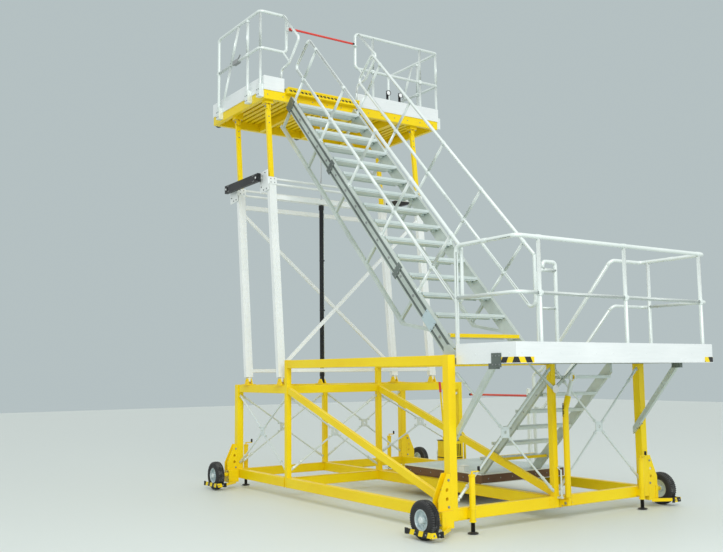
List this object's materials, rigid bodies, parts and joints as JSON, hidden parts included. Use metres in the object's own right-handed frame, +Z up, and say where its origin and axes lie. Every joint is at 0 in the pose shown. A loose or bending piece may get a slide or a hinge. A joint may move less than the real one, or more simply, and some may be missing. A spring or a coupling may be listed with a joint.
{
  "type": "variable height access platform",
  "caption": "Wheeled access platform with a low stair to a landing, a long stair to a raised work deck, leaning telescopic masts and a lift cylinder.",
  "frame": {"origin": "on the floor under the middle of the whole object's box", "axes": "+Y from the entry side to the aircraft side, +X to the right across the stairs, +Z up"},
  "size_m": [3.688, 6.212, 6.451],
  "materials": {
    "yellow_paint": "semi-gloss",
    "white_rail": "satin",
    "aluminium": "satin",
    "black_paint": "satin",
    "red_paint": "semi-gloss",
    "chrome": "polished",
    "tyre": "matte",
    "rim_steel": "satin",
    "rubber": "matte",
    "plywood": "matte",
    "galvanised": "satin"
  },
  "bodies": {
    "chassis": {"base_posts": "yellow_paint", "base_beams": "yellow_paint", "base_diagonals": "yellow_paint", "base_tie_rods": "galvanised", "wheel_brackets": "yellow_paint", "jack_housings": "yellow_paint", "landing_deck": "aluminium", "landing_toe_boards": "aluminium", "landing_struts": "aluminium", "landing_guard_rails": "white_rail", "base_lugs": "yellow_paint", "entry_deck": "plywood", "lower_stair": "aluminium", "pump_unit": "yellow_paint"},
    "tower_front": {"tower_front_row": "white_rail"},
    "tower_back": {"tower_back_row": "white_rail"},
    "tower_links": {"tower_link_beams": "black_paint"},
    "legs_front": {"tower_front_inner_legs": "yellow_paint"},
    "legs_back": {"tower_back_inner_legs": "yellow_paint"},
    "cylinder": {"lift_cylinder": "black_paint"},
    "ram": {"lift_ram": "chrome"},
    "platform": {"platform_frame": "yellow_paint", "platform_deck": "galvanised", "platform_toe_boards": "white_rail", "platform_bumpers": "rubber", "platform_guard_rails": "white_rail"},
    "platform_bar": {"platform_drop_bar": "red_paint"},
    "entry_bar": {"entry_drop_bar": "red_paint"},
    "stair": {"stair_sides": "aluminium", "stair_hand_rails": "white_rail"},
    "tow_bar": {"tow_bar": "yellow_paint"},
    "wheel_front_left": {"wheel_front_left_tyre": "tyre", "wheel_front_left_rim": "rim_steel"},
    "wheel_back_left": {"wheel_back_left_tyre": "tyre", "wheel_back_left_rim": "rim_steel"},
    "wheel_front_right": {"wheel_front_right_tyre": "tyre", "wheel_front_right_rim": "rim_steel"},
    "wheel_back_right": {"wheel_back_right_tyre": "tyre", "wheel_back_right_rim": "rim_steel"},
    "jack_front_left": {"jack_screw_front_left": "black_paint"},
    "jack_front_right": {"jack_screw_front_right": "black_paint"},
    "jack_back_left": {"jack_screw_back_left": "black_paint"},
    "jack_back_right": {"jack_screw_back_right": "black_paint"},
    "tread_01": {"stair_tread_01": "aluminium"},
    "tread_02": {"stair_tread_02": "aluminium"},
    "tread_03": {"stair_tread_03": "aluminium"},
    "tread_04": {"stair_tread_04": "aluminium"},
    "tread_05": {"stair_tread_05": "aluminium"},
    "tread_06": {"stair_tread_06": "aluminium"},
    "tread_07": {"stair_tread_07": "aluminium"},
    "tread_08": {"stair_tread_08": "aluminium"},
    "tread_09": {"stair_tread_09": "aluminium"},
    "tread_10": {"stair_tread_10": "aluminium"},
    "tread_11": {"stair_tread_11": "aluminium"},
    "tread_12": {"stair_tread_12": "aluminium"},
    "tread_13": {"stair_tread_13": "aluminium"},
    "tread_14": {"stair_tread_14": "aluminium"},
    "tread_15": {"stair_tread_15": "aluminium"}
  },
  "joints": [
    {"name": "lift", "type": "slide", "parent": "tower_front", "child": "legs_front", "axis": [0, 0.1028, 0.9947], "range_m": [-0.39, 0.19]},
    {"name": "tower_front_lean", "type": "hinge", "parent": "chassis", "child": "tower_front", "pos_m": [-1.4, 1.10598, 1.45], "axis": [1, 0, 0], "range_deg": [-8.25, 4.02]},
    {"name": "tower_back_lean", "type": "hinge", "parent": "chassis", "child": "tower_back", "pos_m": [-1.4, 2.01598, 1.45], "axis": [1, 0, 0], "range_deg": [-8.25, 4.02]},
    {"name": "tower_link_pivot", "type": "hinge", "parent": "tower_front", "child": "tower_links", "pos_m": [-1.4, 1.53529, 4.14515], "axis": [-1, 0, 0], "range_deg": [-8.25, 4.02]},
    {"name": "back_legs_slide", "type": "slide", "parent": "tower_back", "child": "legs_back", "axis": [0, 0.1028, 0.9947], "range_m": [-0.3978, 0.1938]},
    {"name": "platform_level", "type": "hinge", "parent": "legs_front", "child": "platform", "pos_m": [-1.4, 1.48682, 5.13537], "axis": [-1, 0, 0], "range_deg": [-8.25, 4.02]},
    {"name": "cylinder_pivot", "type": "hinge", "parent": "chassis", "child": "cylinder", "pos_m": [-0.44, 1.67598, 1.43], "axis": [1, 0, 0], "range_deg": [-7.36, 3.59]},
    {"name": "ram_slide", "type": "slide", "parent": "cylinder", "child": "ram", "axis": [0, 0, 1], "range_m": [-0.45111, 0.21977]},
    {"name": "stair_pivot", "type": "hinge", "parent": "chassis", "child": "stair", "pos_m": [-1.4, -2.01626, 1.76618], "axis": [1, 0, 0], "range_deg": [-8.11, 3.95]},
    {"name": "tread_01_pivot", "type": "hinge", "parent": "stair", "child": "tread_01", "pos_m": [-1.4, 1.11462, 5.06247], "axis": [-1, 0, 0], "range_deg": [-8.11, 3.95]},
    {"name": "tread_02_pivot", "type": "hinge", "parent": "stair", "child": "tread_02", "pos_m": [-1.4, 0.89972, 4.83601], "axis": [-1, 0, 0], "range_deg": [-8.11, 3.95]},
    {"name": "tread_03_pivot", "type": "hinge", "parent": "stair", "child": "tread_03", "pos_m": [-1.4, 0.68482, 4.60955], "axis": [-1, 0, 0], "range_deg": [-8.11, 3.95]},
    {"name": "tread_04_pivot", "type": "hinge", "parent": "stair", "child": "tread_04", "pos_m": [-1.4, 0.46991, 4.38309], "axis": [-1, 0, 0], "range_deg": [-8.11, 3.95]},
    {"name": "tread_05_pivot", "type": "hinge", "parent": "stair", "child": "tread_05", "pos_m": [-1.4, 0.25501, 4.15662], "axis": [-1, 0, 0], "range_deg": [-8.11, 3.95]},
    {"name": "tread_06_pivot", "type": "hinge", "parent": "stair", "child": "tread_06", "pos_m": [-1.4, 0.04011, 3.93016], "axis": [-1, 0, 0], "range_deg": [-8.11, 3.95]},
    {"name": "tread_07_pivot", "type": "hinge", "parent": "stair", "child": "tread_07", "pos_m": [-1.4, -0.1748, 3.7037], "axis": [-1, 0, 0], "range_deg": [-8.11, 3.95]},
    {"name": "tread_08_pivot", "type": "hinge", "parent": "stair", "child": "tread_08", "pos_m": [-1.4, -0.3897, 3.47724], "axis": [-1, 0, 0], "range_deg": [-8.11, 3.95]},
    {"name": "tread_09_pivot", "type": "hinge", "parent": "stair", "child": "tread_09", "pos_m": [-1.4, -0.6046, 3.25077], "axis": [-1, 0, 0], "range_deg": [-8.11, 3.95]},
    {"name": "tread_10_pivot", "type": "hinge", "parent": "stair", "child": "tread_10", "pos_m": [-1.4, -0.81951, 3.02431], "axis": [-1, 0, 0], "range_deg": [-8.11, 3.95]},
    {"name": "tread_11_pivot", "type": "hinge", "parent": "stair", "child": "tread_11", "pos_m": [-1.4, -1.03441, 2.79785], "axis": [-1, 0, 0], "range_deg": [-8.11, 3.95]},
    {"name": "tread_12_pivot", "type": "hinge", "parent": "stair", "child": "tread_12", "pos_m": [-1.4, -1.24931, 2.57139], "axis": [-1, 0, 0], "range_deg": [-8.11, 3.95]},
    {"name": "tread_13_pivot", "type": "hinge", "parent": "stair", "child": "tread_13", "pos_m": [-1.4, -1.46422, 2.34492], "axis": [-1, 0, 0], "range_deg": [-8.11, 3.95]},
    {"name": "tread_14_pivot", "type": "hinge", "parent": "stair", "child": "tread_14", "pos_m": [-1.4, -1.67912, 2.11846], "axis": [-1, 0, 0], "range_deg": [-8.11, 3.95]},
    {"name": "tread_15_pivot", "type": "hinge", "parent": "stair", "child": "tread_15", "pos_m": [-1.4, -1.89402, 1.892], "axis": [-1, 0, 0], "range_deg": [-8.11, 3.95]},
    {"name": "wheel_front_left_spin", "type": "hinge", "parent": "chassis", "child": "wheel_front_left", "pos_m": [-1.76, -2.26902, 0.182], "axis": [1, 0, 0], "continuous": true},
    {"name": "wheel_back_left_spin", "type": "hinge", "parent": "chassis", "child": "wheel_back_left", "pos_m": [-1.76, 2.26098, 0.182], "axis": [1, 0, 0], "continuous": true},
    {"name": "wheel_front_right_spin", "type": "hinge", "parent": "chassis", "child": "wheel_front_right", "pos_m": [1.76, -2.18902, 0.182], "axis": [1, 0, 0], "continuous": true},
    {"name": "wheel_back_right_spin", "type": "hinge", "parent": "chassis", "child": "wheel_back_right", "pos_m": [1.76, 2.34098, 0.182], "axis": [1, 0, 0], "continuous": true},
    {"name": "jack_front_left_slide", "type": "slide", "parent": "chassis", "child": "jack_front_left", "axis": [0, 0, 1], "range_m": [-0.006, 0.088]},
    {"name": "jack_front_right_slide", "type": "slide", "parent": "chassis", "child": "jack_front_right", "axis": [0, 0, 1], "range_m": [-0.006, 0.088]},
    {"name": "jack_back_left_slide", "type": "slide", "parent": "chassis", "child": "jack_back_left", "axis": [0, 0, 1], "range_m": [-0.006, 0.088]},
    {"name": "jack_back_right_slide", "type": "slide", "parent": "chassis", "child": "jack_back_right", "axis": [0, 0, 1], "range_m": [-0.006, 0.088]},
    {"name": "platform_bar_lift", "type": "hinge", "parent": "platform", "child": "platform_bar", "pos_m": [-1.1, 1.37102, 6.24997], "axis": [0, -1, 0], "range_deg": [0, 80]},
    {"name": "entry_bar_lift", "type": "hinge", "parent": "chassis", "child": "entry_bar", "pos_m": [1.415, -0.50402, 1.215], "axis": [1, 0, 0], "range_deg": [0, 80]},
    {"name": "tow_bar_fold", "type": "hinge", "parent": "chassis", "child": "tow_bar", "pos_m": [0.08, -2.32902, 0.18], "axis": [1, 0, 0], "range_deg": [0, 88]}
  ],
  "couplings": [
    {"joint": "tower_front_lean", "follows": "lift", "rad_per_m": 0.362},
    {"joint": "tower_back_lean", "follows": "lift", "rad_per_m": 0.362},
    {"joint": "tower_link_pivot", "follows": "lift", "rad_per_m": 0.362},
    {"joint": "back_legs_slide", "follows": "lift", "ratio": 1},
    {"joint": "platform_level", "follows": "lift", "rad_per_m": 0.362},
    {"joint": "cylinder_pivot", "follows": "lift", "rad_per_m": 0.323},
    {"joint": "ram_slide", "follows": "lift", "ratio": 1.134},
    {"joint": "stair_pivot", "follows": "lift", "rad_per_m": 0.3556},
    {"joint": "tread_01_pivot", "follows": "lift", "rad_per_m": 0.3556},
    {"joint": "tread_02_pivot", "follows": "lift", "rad_per_m": 0.3556},
    {"joint": "tread_03_pivot", "follows": "lift", "rad_per_m": 0.3556},
    {"joint": "tread_04_pivot", "follows": "lift", "rad_per_m": 0.3556},
    {"joint": "tread_05_pivot", "follows": "lift", "rad_per_m": 0.3556},
    {"joint": "tread_06_pivot", "follows": "lift", "rad_per_m": 0.3556},
    {"joint": "tread_07_pivot", "follows": "lift", "rad_per_m": 0.3556},
    {"joint": "tread_08_pivot", "follows": "lift", "rad_per_m": 0.3556},
    {"joint": "tread_09_pivot", "follows": "lift", "rad_per_m": 0.3556},
    {"joint": "tread_10_pivot", "follows": "lift", "rad_per_m": 0.3556},
    {"joint": "tread_11_pivot", "follows": "lift", "rad_per_m": 0.3556},
    {"joint": "tread_12_pivot", "follows": "lift", "rad_per_m": 0.3556},
    {"joint": "tread_13_pivot", "follows": "lift", "rad_per_m": 0.3556},
    {"joint": "tread_14_pivot", "follows": "lift", "rad_per_m": 0.3556},
    {"joint": "tread_15_pivot", "follows": "lift", "rad_per_m": 0.3556}
  ]
}
